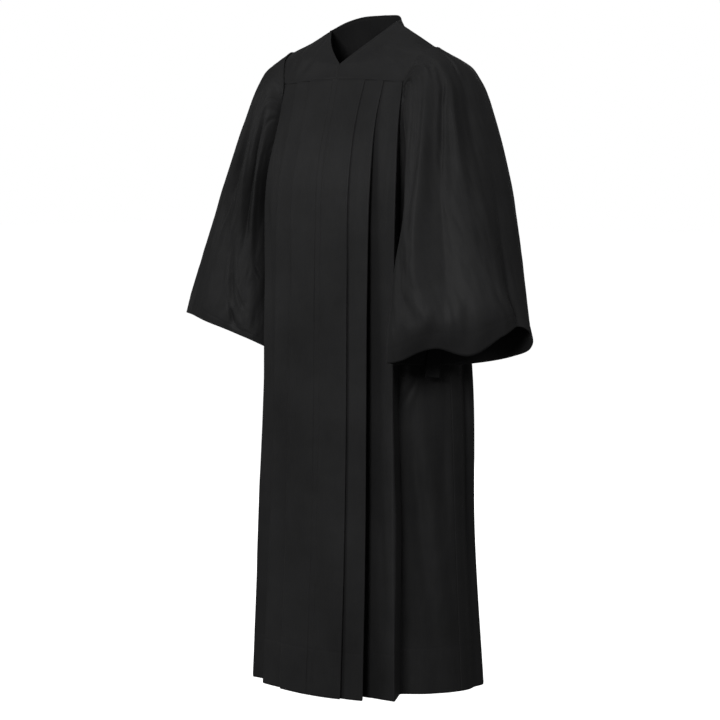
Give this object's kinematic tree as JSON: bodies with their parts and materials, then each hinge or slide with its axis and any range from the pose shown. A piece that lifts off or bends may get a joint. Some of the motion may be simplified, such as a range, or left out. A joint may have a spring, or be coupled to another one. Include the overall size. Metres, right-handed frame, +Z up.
{
  "type": "judicial robe",
  "caption": "Floor-length black judge's robe filled out as worn: V neck, shoulder yokes, pleated front, fluted back and wide open bell sleeves.",
  "frame": {"origin": "midway between the two sides of the neck, where the robe rests on the wearer's shoulders beside the neck", "axes": "+Z up along the wearer's height, -Y out of the wearer's chest, +X towards the wearer's left hand"},
  "size_m": [0.8458, 0.3629, 1.3415],
  "materials": {
    "robe_cloth": "soft satin-faced weave"
  },
  "bodies": {
    "root": {"front_yoke_left": "robe_cloth", "front_yoke_right": "robe_cloth", "back_yoke": "robe_cloth", "front_panel_left": "robe_cloth", "front_panel_right": "robe_cloth", "front_fly": "robe_cloth", "back_panel": "robe_cloth", "sleeve_left": "robe_cloth", "sleeve_right": "robe_cloth", "sleeve_tab_left": "robe_cloth"}
  },
  "joints": []
}
